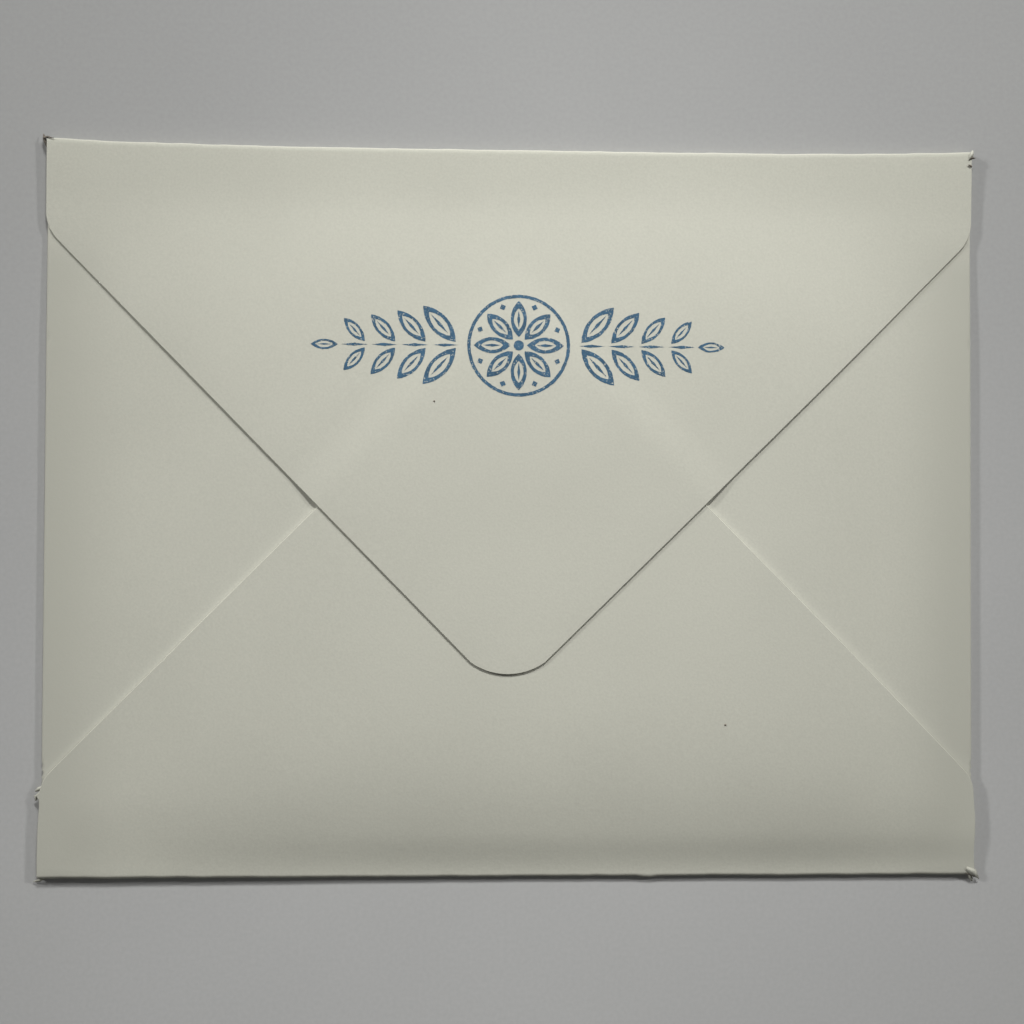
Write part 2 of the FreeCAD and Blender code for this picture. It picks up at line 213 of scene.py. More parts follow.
# How the layers press on and climb over each other
EDGE_LIFT = -0.06
EDGE_LIFT_SPREAD = 2.0
RAMP_HEIGHT = 0.13
RAMP_OUTSIDE = 0.45
RAMP_INSIDE = 1.2
DRAPE_DEPTH = LAYER_STEP - 0.05
DRAPE_LENGTH = 7.0
DRAPE_ROLL = 10.0

# Slight unevenness of the paper and of its cut edge: each wave's height, its waves a millimetre
# across and along, and its seed
RELIEF_WAVES = ((0.16, 0.022, 0.028, 4.2), (0.035, 0.07, 0.07, 9.1))
RELIEF_MARGIN = 1.0
RELIEF_FADE = 9.0
EDGE_WAVES = ((0.008, 0.4, 0.4, 1.7),)


def smooth_step(amount):
    """0 to 1 with level ends."""
    amount = min(max(amount, 0.0), 1.0)
    return amount * amount * (3 - 2 * amount)


def bell(distance, spread):
    """1 at no distance, fading to 0 over a few spreads."""
    return math.exp(-0.5 * (distance / spread) ** 2)


def waves(x, y, parts):
    """Smooth noise at a point in plan, the sum of some waves."""
    return sum(
        height * noise.noise(Vector((x * across, y * along, seed)))
        for height, across, along, seed in parts
    )


def rise_share(along, steepness, start=0.0):
    """Share of the crown at a share of the way from a fold to the crest, where it is level.

    It is level at the fold too, unless the curve's start is cut off.
    """
    left = 1 - start - min(max(along, 0.0), 1.0) * (1 - start)
    lowest = (1 - start) ** steepness * (1 + steepness * start)
    return 1 - left**steepness * (1 + steepness * (1 - left)) / lowest


def seam_distance(x, y):
    """How far a point in plan lies outside the seam flap's nearer slanted edge."""
    return (Vector((abs(x), y)) - SLANT_LOW).dot(SLANT_OUT)


def skew(y):
    """How far the closing flap has strayed to the left at some level."""
    return FLAP_SKEW * (max(CLOSING.tangent - y, 0) / CLOSING.reach) ** SKEW_POWER


def closing_depth(x, y):
    """How far a point in plan lies inside the closing flap's nearer slanted edge."""
    low = Vector((CLOSING.half_width, CLOSING.shoulder))
    high = Vector((TIP_HALF_CHORD, CLOSING.reach - TIP_DROP))
    along = (high - low).normalized()
    place = Vector((abs(x + skew(y)), HALF_HEIGHT - y))
    return (place - low).dot(Vector((-along.y, along.x)))


def crown(x, y):
    """Height that the back of the envelope has over its folds."""
    if x < CREST_SHIFT:
        along = (x + LEFT.tangent) / (LEFT.tangent + CREST_SHIFT)
        share_x = rise_share(along, LEFT_STEEPNESS)
    else:
        along = (RIGHT.tangent - x) / (RIGHT.tangent - CREST_SHIFT)
        share_x = rise_share(along, RIGHT_STEEPNESS)
    if y < -CREST_DROP:
        along = (y + SEAM.tangent) / (SEAM.tangent - CREST_DROP)
        share_y = rise_share(along, SEAM_STEEPNESS, SEAM_START)
    else:
        along = (CLOSING.tangent - y) / (CLOSING.tangent + CREST_DROP)
        share_y = rise_share(along, CLOSING_STEEPNESS)
    low = smooth_step((y + SEAM.tangent) / SHELF_ROLL)
    low *= smooth_step((SHELF_TOP - y) / (SHELF_TOP + HALF_HEIGHT))
    shelf = SHELF_RISE * low * smooth_step((LEFT.tangent - abs(x)) / SHELF_SIDE)
    return CROWN_RISE * share_y * share_x + shelf * (1 - share_x)


def relief(x, y):
    """Slow, slight unevenness of the paper, none at the folds."""
    inside = min(HALF_WIDTH - abs(x), HALF_HEIGHT - abs(y))
    return smooth_step((inside - RELIEF_MARGIN) / RELIEF_FADE) * waves(x, y, RELIEF_WAVES)


def layer_lift(fold, x, y):
    """What the layers' pressing on and climbing over each other adds to a flap's height."""
    distance = seam_distance(x, y)
    if fold.name in ("left", "right"):
        spread = RAMP_OUTSIDE if distance > 0 else RAMP_INSIDE
        return RAMP_HEIGHT * math.exp(-abs(distance) / spread)
    if fold.name == "closing":
        from_fold = smooth_step((CLOSING.tangent - y) / DRAPE_ROLL)
        draped = DRAPE_DEPTH * smooth_step(distance / DRAPE_LENGTH) * from_fold
        lifted = EDGE_LIFT * math.exp(-abs(closing_depth(x, y)) / EDGE_LIFT_SPREAD) * from_fold
        return lifted - draped
    return 0.0


def pressed(x, y, stack):
    """A stack's height, less where the real folds are flatter: top corners and lower right."""
    corner = smooth_step((abs(x) - PRESS_TOP_SIDE) / PRESS_TOP_REACH)
    top = PRESS_TOP * corner * smooth_step((y - PRESS_TOP_START) / PRESS_TOP_REACH)
    across = smooth_step((x + HALF_WIDTH) / HALF_WIDTH)
    low = PRESS_LOW * across * smooth_step((-y - PRESS_LOW_START) / PRESS_LOW_REACH)
    return stack * (1 - top) * (1 - low)


def wander(place):
    """Moves a folded point as the real top and bottom folds stray from a straight line."""

    def near(level, reach):
        return smooth_step((level - HALF_HEIGHT + reach) / reach)

    ends = (min(abs(place.x), HALF_WIDTH + 1) / HALF_WIDTH) ** FLARE_POWER
    ripple = sum(
        height * noise.noise(Vector((place.x * wave, seed, 0)))
        for height, wave, seed in RIPPLE_WAVES
    )
    stray = near(place.y, FOLD_WANDER_REACH) * (FOLD_FLARE * ends - FOLD_BOW)
    stray += near(abs(place.y), FOLD_RIPPLE_REACH) * FOLD_RIPPLE * ripple
    tilt = LOW_FOLD_DROP + LOW_FOLD_TILT * place.x / HALF_WIDTH
    stray -= near(-place.y, FOLD_WANDER_REACH) * tilt
    return place + Vector((0, stray, 0))


def fold_point(flat):
    """The middle of the folded sheet at a point of the flat one, and the way its outside looks."""
    place, facing = fold_straight(flat)
    return wander(place), facing


def fold_straight(flat):
    """The same before the fold's wander."""
    for fold in FOLDS:
        past = flat.dot(fold.out) - fold.tangent
        beside = fold in (LEFT, RIGHT) and abs(flat.y) > fold.half_width + CORNER_SLIT / 2
        if past <= 0 or beside:
            continue
        along = fold.side * flat.dot(fold.side)
        if past < fold.turn:
            angle = past / fold.radius
            sine, cosine = math.sin(angle), math.cos(angle)
            bump = 0.0
            if fold is SEAM:
                nearness = bell(along.x - FOLD_BUMP_PLACE, FOLD_BUMP_SPREAD)
                bump = FOLD_BUMP_HEIGHT * nearness * sine
            bulge = max(sine, LEAST_SINE) ** fold.roundness
            plan = along + fold.out * (fold.tangent + fold.radius * bulge + bump)
            height = PANEL_MIDDLE + pressed(plan.x, plan.y, fold.radius * (1 - cosine))
            level = -cosine * fold.roundness * bulge / max(sine, LEAST_SINE)
            facing = Vector((*(fold.out * sine), level)).normalized()
            return Vector((plan.x, plan.y, height)), facing
        plan = along + fold.out * (fold.tangent - (past - fold.turn))
        if fold is CLOSING:
            plan.x -= skew(plan.y)
        return Vector((plan.x, plan.y, middle_of(fold, plan.x, plan.y))), Vector((0, 0, 1))
    return Vector((flat.x, flat.y, PANEL_MIDDLE)), Vector((0, 0, -1))


def middle_of(fold, x, y):
    """Height of the middle of a flap at a point in plan."""
    stack = pressed(x, y, 2 * fold.radius + layer_lift(fold, x, y))
    return PANEL_MIDDLE + stack + crown(x, y) + relief(x, y)


def top_of(fold, x, y):
    """Height of a flap's upper face at a point in plan."""
    return middle_of(fold, x, y) + THICKNESS / 2


# The outline of the flat sheet


def line_points(start, end, pitch):
    """Points along a line, without its end."""
    count = max(1, round((end - start).length / pitch))
    return [start.lerp(end, step / count) for step in range(count)]


def arc_points(centre, radius, start, end, pitch):
    """Points along an arc between two angles, without its end."""
    count = max(2, round(abs(end - start) * radius / pitch))
    turns = [start + (end - start) * step / count for step in range(count)]
    return [centre + Vector((math.cos(turn), math.sin(turn))) * radius for turn in turns]


def rounded_corner(first, corner, last, radius):
    """The arc that rounds a corner: its two ends, its centre and its two angles."""
    back, ahead = (first - corner).normalized(), (last - corner).normalized()
    half_angle = back.angle(ahead) / 2
    reach = radius / math.tan(half_angle)
    centre = corner + (back + ahead).normalized() * (radius / math.sin(half_angle))
    start, end = corner + back * reach, corner + ahead * reach
    turns = [math.atan2(point.y - centre.y, point.x - centre.x) for point in (start, end)]
    turns[1] = turns[0] + math.remainder(turns[1] - turns[0], 2 * math.pi)
    return start, end, centre, turns


def half_outline(fold):
    """One half of a flap's edge in its own plan, from the fold to the middle of its tip."""
    half, inset = fold.half_width, fold.outside - fold.tangent
    centre = Vector((0, fold.reach - TIP_RADIUS))
    tip = Vector((-TIP_HALF_CHORD, centre.y + math.sqrt(TIP_RADIUS**2 - TIP_HALF_CHORD**2)))
    base, corner = Vector((-half, inset)), Vector((-half, fold.shoulder))
    start, end, hub, turns = rounded_corner(base, corner, tip, SHOULDER_RADIUS)
    tip_turn = math.atan2(tip.y - centre.y, tip.x - centre.x)
    points = line_points(base, start, EDGE_PITCH)
    points += arc_points(hub, SHOULDER_RADIUS, *turns, ARC_PITCH)
    points += line_points(end, tip, EDGE_PITCH)
    points += arc_points(centre, TIP_RADIUS, tip_turn, math.pi / 2, ARC_PITCH)
    return points


def flap_outline(fold):
    """A flap's whole edge on the flat sheet, with the ends of its fold, anticlockwise."""
    half = half_outline(fold)
    tip = Vector((0, fold.reach))
    plan = half + [tip] + [Vector((-point.x, point.y)) for point in reversed(half)]
    flat = [fold.flat(fold.local(point.x, point.y)) for point in plan]
    rows = [fold.tangent + fold.turn * row / FOLD_ROWS for row in range(FOLD_ROWS)]
    first = [fold.out * row - fold.side * fold.half_width for row in rows]
    last = [fold.out * row + fold.side * fold.half_width for row in reversed(rows)]
    return first + flat + last


def outward_normals(loop):
    """The way out of an anticlockwise loop at each of its points."""
    normals = []
    for before, after in zip(loop[-1:] + loop[:-1], loop[1:] + loop[:1]):
        run = (after - before).normalized()
        normals.append(Vector((run.y, -run.x)))
    return normals


def mark_edges(loop):
    """Pushes the outline in or out where the real edge is torn, nicked or flared."""
    marked = []
    for point, normal in zip(loop, outward_normals(loop)):
        place = fold_point(point)[0]
        push = waves(point.x, point.y, EDGE_WAVES)
        for name, spot, spread, amount in EDGE_MARKS:
            fold = next(fold for fold in FOLDS if fold.name == name)
            if point.dot(fold.out) > fold.tangent:
                push += amount * bell((place.xy - Vector(spot)).length, spread)
        marked.append(point + normal * push)
    return marked


def sheet_outline():
    """The closed edge of the whole flat sheet."""
    loop = []
    for fold in FOLDS:
        loop += flap_outline(fold)
        corner = fold.out * fold.tangent + fold.side * FOLDS[(FOLDS.index(fold) + 1) % 4].tangent
        loop.append(corner)
    cleaned = [loop[0]]
    for point in loop[1:]:
        if (point - cleaned[-1]).length > 1e-4:
            cleaned.append(point)
    return mark_edges(cleaned)


# Filling and folding the sheet


def inside_loop(points, loop):
    """Which of many points lie inside a closed loop."""
    x, y = points[:, 0], points[:, 1]
    inside = np.zeros(len(points), bool)
    corners = np.array([tuple(point) for point in loop])
    for (x0, y0), (x1, y1) in zip(corners, np.roll(corners, -1, axis=0)):
        if y0 == y1:
            continue
        crosses = (y0 > y) != (y1 > y)
        inside ^= crosses & (x < (x1 - x0) * (y - y0) / (y1 - y0) + x0)
    return inside


def fill(points, loops):
    """Triangles between points, inside one loop and outside those within it.

    The points begin with those of the loops.
    """
    edges, first = [], 0
    for loop in loops:
        edges += [(first + step, first + (step + 1) % len(loop)) for step in range(len(loop))]
        first += len(loop)
    flat, _, triangles, *_ = delaunay_2d_cdt(points, edges, [], 0, 1e-6, False)
    triangles = [list(triangle) for triangle in triangles]
    middles = np.array([tuple(point) for point in flat])[np.array(triangles)].mean(1)
    keep = np.zeros(len(triangles), bool)
    for loop in loops:
        keep ^= inside_loop(middles, loop)
    kept = [triangle for triangle, inside in zip(triangles, keep) if inside]
    return [Vector(point) for point in flat], kept


def grid(low, high, pitch):
    """Staggered rows of points over a rectangle."""
    width, height = high.x - low.x, high.y - low.y
    rows = max(1, round(height / (pitch * ROW_SHARE)))
    columns = max(1, round(width / pitch))
    return [
        (low.x + width * (column + 0.5 * (row % 2)) / columns, low.y + height * row / rows)
        for row in range(rows + 1)
        for column in range(columns + 1)
    ]


def fine_points(loop):
    """Rows of points where the folded sheet has small forms: folds, edges and seams."""
    normals = outward_normals(loop)
    points = [
        point - normal * inset for inset in EDGE_ROWS for point, normal in zip(loop, normals)
    ]
    for fold in FOLDS:
        count = round(2 * fold.half_width / FOLD_PITCH)
        for row in range(FOLD_ROWS + 1):
            level = fold.tangent + fold.turn * row / FOLD_ROWS
            for step in range(count + 1):
                along = fold.half_width * (2 * step / count - 1)
                points.append(fold.side * along + fold.out * level)
    for across, fold in ((-1, LEFT), (1, RIGHT)):
        for shift in SEAM_ROWS:
            aside = SLANT_OUT * shift
            row = line_points(SLANT_LOW + aside, SLANT_HIGH + aside, SEAM_PITCH)
            points += [fold.flat(Vector((across * point.x, point.y))) for point in row]
    return points


def with_room(candidates, loop, chosen, room):
    """Those candidates inside a loop that keep some room to every point chosen so far."""
    tree = kdtree.KDTree(len(chosen))
    for index, point in enumerate(chosen):
        tree.insert((point.x, point.y, 0), index)
    tree.balance()
    candidates = [tuple(point) for point in candidates]
    return [
        Vector(point)
        for point, inside in zip(candidates, inside_loop(np.array(candidates), loop))
        if inside and tree.find((*point, 0))[2] > room
    ]


def sheet_points(loop):
    """Every point that the flat sheet is divided at, its outline first."""
    chosen = list(loop)
    chosen += with_room(fine_points(loop), loop, chosen, FINE_ROOM)
    seam_tip = SEAM.flat(Vector((0, SEAM.reach - HALF_HEIGHT)))
    side_middle = RIGHT.flat(Vector((0, 0)))
    reach = max(seam_tip.length, side_middle.length)
    corner = Vector((reach, reach))
    flap_grid = [
        (x, y)
        for x, y in grid(-corner, corner, FLAP_PITCH)
        if abs(x) > RIGHT.tangent or y < -SEAM.tangent or y > CLOSING.tangent
    ]
    panel_low = Vector((-RIGHT.tangent, -SEAM.tangent))
    panel_high = Vector((RIGHT.tangent, CLOSING.tangent))
    panel_grid = grid(panel_low, panel_high, PANEL_PITCH)
    flap_points = with_room(flap_grid, loop, chosen, GRID_ROOM * FLAP_PITCH)
    return chosen + flap_points + with_room(panel_grid, loop, chosen, GRID_ROOM * PANEL_PITCH)


def rim_edges(triangles):
    """The edges that only one triangle has, each in the way that it runs."""
    edges = dict.fromkeys(
        edge for triangle in triangles for edge in zip(triangle, triangle[1:] + triangle[:1])
    )
    return [(start, end) for start, end in edges if (end, start) not in edges]


def thicken(flat_points, triangles):
    """Both faces of the folded sheet and its cut edge, as points, faces and sharp edges."""
    rim = rim_edges(triangles)
    after = dict(rim)
    before = {end: start for start, end in rim}
    outer, inner, middle = [], [], {}
    for index, flat in enumerate(flat_points):
        place, facing = fold_point(flat)
        inner.append(place - facing * THICKNESS / 2)
        if index in after:
            run = (flat_points[after[index]] - flat_points[before[index]]).normalized()
            inset_place, inset_facing = fold_point(flat - Vector((run.y, -run.x)) * EDGE_BEVEL)
            outer.append(inset_place + inset_facing * THICKNESS / 2)
            middle[index] = place + facing * THICKNESS * RIDGE_SHARE
        else:
            outer.append(place + facing * THICKNESS / 2)
    count = len(flat_points)
    points = inner + outer
    ring = {}
    for index, place in middle.items():
        ring[index] = len(points)
        points.append(place)
    faces = [tuple(triangle) for triangle in triangles]
    faces += [tuple(count + index for index in reversed(triangle)) for triangle in triangles]
    sharp = []
    for start, end in rim:
        faces.append((end, start, ring[start], ring[end]))
        faces.append((ring[end], ring[start], count + start, count + end))
        sharp += [(start, end), (count + start, count + end)]
    return points, faces, sharp


def make_object(name, points, faces, materials, sharp=()):
    """A smooth-shaded mesh object from points in millimetres."""
    mesh = bpy.data.meshes.new(name)
    mesh.from_pydata([tuple(point * MM) for point in points], [], faces)
    mesh.update()
    mesh.shade_smooth()
    if sharp:
        wanted = {tuple(sorted(edge)) for edge in sharp}
        for edge in mesh.edges:
            if tuple(sorted(edge.vertices)) in wanted:
                edge.use_edge_sharp = True
    for material in materials:
        mesh.materials.append(material)
    item = bpy.data.objects.new(name, mesh)
    bpy.context.scene.collection.objects.link(item)
    return item


def make_sheet(material):
    """The folded sheet."""
    loop = sheet_outline()
    points = sheet_points(loop)
    points, faces, sharp = thicken(*fill(points, [loop]))
    return make_object("folded_sheet", points, faces, [material], sharp)


# The print and the glue

INK_THICKNESS = 0.02
INK_STROKE = 0.5
ORNAMENT_CENTRE = Vector((0.5, HALF_HEIGHT - 31.5))
ROSETTE_RADIUS = 8.0
PETAL_COUNT = 8
PETAL_WIDTH = 2.5
HUB_RADIUS = 0.8
SPRIG_LENGTH = 23.5
SPRIG_GAP = 1.3
LEAF_PAIRS = 4
LEAF_LENGTH = 7.6
LEAF_WIDTH = 2.9
LEAF_ANGLE = math.radians(48)
LEAF_SHRINK = 0.86
VEIN_SHARE = 0.8
STEM_SHARE = 0.85
STEM_CENTRE = 0.45
INK_PITCH = 0.22
FILM_CLEARANCE = 0.004

# The ragged edge of the print: its depth, and its waves as above
INK_ROUGHNESS = 0.045
INK_WAVES = ((1.0, 2.7, 2.7, 5.5), (0.6, 7.0, 7.0, 8.8))

# The strips of glue, and how many cells each is divided into
GLUE_WIDTH = 6.0
GLUE_INSET = 1.5
GLUE_START = 6.0
GLUE_LENGTH = 58.0
GLUE_DEPTH = 0.09
GLUE_CLEARANCE = 0.01
GLUE_WAVER = 0.3
GLUE_WAVE = 0.35
GLUE_STEPS = 60
GLUE_ROWS = 8


def turned(length, angle):
    """A step of some length at an angle."""
    return Vector((math.cos(angle), math.sin(angle))) * length


def circle(centre, radius, pitch):
    """A closed ring of points."""
    return arc_points(centre, radius, 0, 2 * math.pi, pitch)


def leaf_loop(root, angle, length, width):
    """A pointed leaf's edge: two arcs from its root to its tip and back."""
    radius = (length**2 + width**2) / (4 * width)
    half_turn = math.asin(length / (2 * radius))
    loop = []
    for side in (1, -1):
        aside = turned(side * (radius - width / 2), angle + math.pi / 2)
        centre = root + turned(length / 2, angle) - aside
        middle = angle + side * math.pi / 2
        start, end = middle + half_turn, middle - half_turn
        loop += arc_points(centre, radius, start, end, INK_PITCH)
    return loop


def diamond_loop(centre, angle, length, width):
    """A four-cornered dot or vein."""
    ahead, aside = turned(length / 2, angle), turned(width / 2, angle + math.pi / 2)
    corners = [centre + ahead, centre + aside, centre - ahead, centre - aside]
    loop = []
    for start, end in zip(corners, corners[1:] + corners[:1]):
        loop += line_points(start, end, INK_PITCH)
    return loop


def outlined_leaf(root, angle, length, width, stroke):
    """A leaf as an outline with a vein: a list of shapes, each a list of loops."""
    inset = stroke * length / width
    hollow_length = length - 2 * inset
    hollow = leaf_loop(root + turned(inset, angle), angle, hollow_length, width - 2 * stroke)
    vein = diamond_loop(root + turned(length / 2, angle), angle, hollow_length * VEIN_SHARE, stroke)
    return [[leaf_loop(root, angle, length, width), hollow], [vein]]


def rosette_shapes(centre):
    """Petals about a dot, inside a ring."""
    inner = ROSETTE_RADIUS - INK_STROKE
    ring = [circle(centre, radius, INK_PITCH) for radius in (ROSETTE_RADIUS, inner)]
    shapes = [ring, [circle(centre, HUB_RADIUS, INK_PITCH)]]
    petal_start = HUB_RADIUS + INK_STROKE
    petal_length = inner - INK_STROKE - petal_start
    dot = 2 * INK_STROKE
    for step in range(PETAL_COUNT):
        angle = 2 * math.pi * step / PETAL_COUNT
        root = centre + turned(petal_start, angle)
        shapes += outlined_leaf(root, angle, petal_length, PETAL_WIDTH, INK_STROKE)
        between = angle + math.pi / PETAL_COUNT
        shapes.append([diamond_loop(centre + turned(inner - dot, between), between, dot, dot)])
    return shapes


def sprig_shapes(centre, side):
    """A stem of dashes with leaves in pairs, shrinking towards a last leaf."""
    stem_start = ROSETTE_RADIUS + SPRIG_GAP
    pitch = SPRIG_LENGTH / (LEAF_PAIRS + 1)
    heading = 0 if side > 0 else math.pi
    shapes = []
    for step in range(LEAF_PAIRS + 1):
        scale = LEAF_SHRINK**step
        size = (LEAF_LENGTH * scale, LEAF_WIDTH * scale, INK_STROKE * scale)
        root = centre + Vector((side * (stem_start + pitch * step), 0))
        if step == LEAF_PAIRS:
            shapes += outlined_leaf(root, heading, *size)
            break
        stem = root + Vector((side * pitch * STEM_CENTRE, 0))
        shapes.append([diamond_loop(stem, heading, pitch * STEM_SHARE, INK_STROKE)])
        for turn in (1, -1):
            start = root + Vector((side * INK_STROKE, turn * INK_STROKE))
            shapes += outlined_leaf(start, heading + side * turn * LEAF_ANGLE, *size)
    return shapes


def roughened(loop):
    """A loop with the slightly ragged edge of a stamped print."""
    rough = []
    for point, normal in zip(loop, outward_normals(loop)):
        rough.append(point + normal * (waves(point.x, point.y, INK_WAVES) * INK_ROUGHNESS))
    return rough


def film(shapes, fold, depth):
    """Closed thin solids on a flap, one for each shape, as points, faces and sharp edges."""
    points, faces, sharp = [], [], []
    for loops in shapes:
        plan, triangles = fill([point for loop in loops for point in loop], loops)
        low, high = len(points), len(points) + len(plan)
        levels = [top_of(fold, point.x, point.y) + FILM_CLEARANCE for point in plan]
        for lift in (0, depth):
            points += [
                Vector((point.x, point.y, level + lift)) for point, level in zip(plan, levels)
            ]
        faces += [tuple(high + index for index in triangle) for triangle in triangles]
        faces += [tuple(low + index for index in reversed(triangle)) for triangle in triangles]
        for start, end in rim_edges(triangles):
            faces.append((low + start, low + end, high + end, high + start))
            sharp.append((high + start, high + end))
    return points, faces, sharp


def make_print(material):
    """The stamped ornament, a film of ink on the closing flap."""
    shapes = rosette_shapes(ORNAMENT_CENTRE)
    for side in (1, -1):
        shapes += sprig_shapes(ORNAMENT_CENTRE, side)
    shapes = [[roughened(loop) for loop in loops] for loops in shapes]
    points, faces, sharp = film(shapes, CLOSING, INK_THICKNESS)
    return make_object("leaf_stamp_print", points, faces, [material], sharp)


def make_glue(name, side, material):
    """A strip of dried glue between a side flap and the seam flap, on side -1 or 1."""
    first = SLANT_LOW + SLANT_ALONG * GLUE_START - SLANT_OUT * GLUE_INSET
    steps, rows = GLUE_STEPS, GLUE_ROWS
    pitch = rows + 1
    points, faces = [], []
    for lift in (0, GLUE_DEPTH):
        for step in range(steps + 1):
            for row in range(pitch):
                seed = (row // rows * 9.0, side * 3.0)
                waver = GLUE_WAVER * noise.noise(Vector((step * GLUE_WAVE, *seed)))
                offset = GLUE_WIDTH * row / rows + waver * (row in (0, rows))
                spot = first + SLANT_ALONG * (GLUE_LENGTH * step / steps) - SLANT_OUT * offset
                height = top_of(RIGHT, side * spot.x, spot.y) + GLUE_CLEARANCE + lift
                points.append(Vector((side * spot.x, spot.y, height)))
    size = len(points) // 2
    for step in range(steps):
        for row in range(rows):
            low, high = step * pitch + row, (step + 1) * pitch + row
            quad = (low, high, high + 1, low + 1)
            faces.append(quad[::-side])
            faces.append(tuple(size + index for index in quad[::side]))
    border = [step * pitch for step in range(steps + 1)]
    border += [steps * pitch + row for row in range(1, pitch)]
    border += [step * pitch + rows for step in range(steps - 1, -1, -1)]
    border += range(rows - 1, 0, -1)
    for start, end in zip(border, border[1:] + border[:1]):
        faces.append((start, end, size + end, size + start)[::side])
    return make_object(name, points, faces, [material])


# The torn corners: thin slivers of paper, some of them coloured dark as painted shade, each with
# places along it and its widths there; and the specks, each with its flap, place and radius

SLIVER_THICKNESS = 0.12
SPECK_PITCH = 0.12
SPECK_DEPTH = 0.04
PALE_SLIVERS = (
    (((-72.6, -43.0, 1.05), (-73.3, -43.4, 1.05), (-73.9, -43.8, 0.8)), (0.3, 0.7, 0.25)),
    (((-73.1, -43.9, 1.0), (-73.75, -44.6, 0.9), (-73.85, -45.3, 0.6)), (0.25, 0.6, 0.2)),
    (((-72.4, -57.2, 0.6), (-73.3, -57.6, 0.5), (-74.2, -57.8, 0.3)), (0.3, 0.5, 0.12)),
    (((72.0, -56.3, 1.05), (73.2, -57.0, 1.0), (74.2, -58.1, 0.5)), (0.5, 1.2, 0.15)),
    (((72.4, -57.2, 0.6), (73.0, -58.0, 0.4), (73.2, -58.6, 0.2)), (0.3, 0.6, 0.2)),
    (((73.3, 58.0, 1.1), (73.0, 57.3, 1.3), (72.6, 56.4, 1.25)), (0.3, 0.7, 0.2)),
)
DARK_SLIVERS = (
    (((-73.8, 58.5, 0.5), (-73.55, 57.7, 0.8), (-73.15, 56.3, 0.9)), (0.15, 0.6, 0.15)),
    (((-73.7, 57.8, 0.9), (-73.0, 57.85, 1.2), (-71.95, 57.6, 1.35)), (0.45, 0.3, 0.08)),
    (((72.85, 56.7, 1.3), (73.2, 56.8, 1.3), (73.7, 56.75, 1.1)), (0.15, 0.45, 0.06)),
    (((72.4, 55.65, 1.3), (72.85, 55.5, 1.35), (73.15, 55.4, 1.2)), (0.08, 0.4, 0.1)),
    (((71.9, -57.1, 0.9), (72.9, -57.5, 0.8), (73.8, -57.9, 0.6)), (0.1, 0.3, 0.08)),
)
SPECKS = ((SEAM, (33.0, -33.3), 0.18), (CLOSING, (-12.6, 16.8), 0.15))


def make_slivers(name, slivers, specks, material):
    """Tapered strips of torn paper, and specks that lie on the flaps."""
    points, faces = [], []
    up = Vector((0, 0, SLIVER_THICKNESS / 2))
    for places, widths in slivers:
        base = len(points)
        places = [Vector(place) for place in places]
        before, after = places[:1] + places[:-1], places[1:] + places[-1:]
        runs = [end - start for start, end in zip(before, after)]
        for place, run, width in zip(places, runs, widths):
            aside = run.cross(up).normalized() * (width / 2)
            points += [place + aside, place + up, place - aside, place - up]
        for ring in range(base, len(points) - 4, 4):
            faces += [
                (ring + step, ring + 4 + step, ring + 4 + (step + 1) % 4, ring + (step + 1) % 4)
                for step in range(4)
            ]
        last = len(points) - 1
        faces += [(base, base + 1, base + 2, base + 3), (last, last - 1, last - 2, last - 3)]
    for fold, spot, radius in specks:
        loop = roughened(circle(Vector(spot), radius, SPECK_PITCH))
        more, more_faces, _ = film([[loop]], fold, SPECK_DEPTH)
        faces += [tuple(len(points) + index for index in face) for face in more_faces]
        points += more
    return make_object(name, points, faces, [material])


# Materials


def new_material(name):
    """A material, its nodes, links and shader, and the socket that tells a point's place."""
    material = bpy.data.materials.new(name)
    material.use_nodes = True
    nodes, links = material.node_tree.nodes, material.node_tree.links
    place = nodes.new("ShaderNodeTexCoord").outputs["Object"]
    return material, nodes, links, nodes["Principled BSDF"], place


def noise_node(nodes, links, coordinates, scale, detail=2.0, roughness=0.5):
    """Soft noise at a scale in waves a metre."""
    node = nodes.new("ShaderNodeTexNoise")
    node.inputs["Scale"].default_value = scale
    node.inputs["Detail"].default_value = detail
    node.inputs["Roughness"].default_value = roughness
    links.new(coordinates, node.inputs["Vector"])
    return node.outputs["Fac"]


def ramp_node(nodes, links, source, stops):
    """A colour for each level of a value."""
    node = nodes.new("ShaderNodeValToRGB")
    ramp = node.color_ramp
    for index, (place, colour) in enumerate(stops):
        stop = ramp.elements[index] if index < 2 else ramp.elements.new(place)
        stop.position = place
        stop.color = (*colour, 1)
    links.new(source, node.inputs["Fac"])
    return node.outputs["Color"]


def mix_node(nodes, links, amount, first, second, blend="MIX"):
    """Two colours mixed by an amount, each a socket or a plain colour."""
    node = nodes.new("ShaderNodeMix")
    node.data_type = "RGBA"
    node.blend_type = blend
    inputs = {"Factor": node.inputs[0], "A": node.inputs[6], "B": node.inputs[7]}
    for key, item in (("Factor", amount), ("A", first), ("B", second)):
        if isinstance(item, bpy.types.NodeSocket):
            links.new(item, inputs[key])
        elif key == "Factor":
            inputs[key].default_value = item
        else:
            inputs[key].default_value = (*item, 1)
    return node.outputs[2]


def math_node(nodes, links, operation, first, second=None):
    """One value changed, or two brought together."""
    node = nodes.new("ShaderNodeMath")
    node.operation = operation
    links.new(first, node.inputs[0])
    if second is not None:
        links.new(second, node.inputs[1])
    return node.outputs[0]


def axes_node(nodes, links, place):
    """The parts of a place along each axis."""
    node = nodes.new("ShaderNodeSeparateXYZ")
    links.new(place, node.inputs[0])
    return node.outputs


def span_node(nodes, links, source, start, end):
    """0 to 1 while a value goes from one level to another."""
    node = nodes.new("ShaderNodeMapRange")
    node.interpolation_type = "SMOOTHSTEP"
    node.inputs["From Min"].default_value = start
    node.inputs["From Max"].default_value = end
    links.new(source, node.inputs["Value"])
    return node.outputs["Result"]


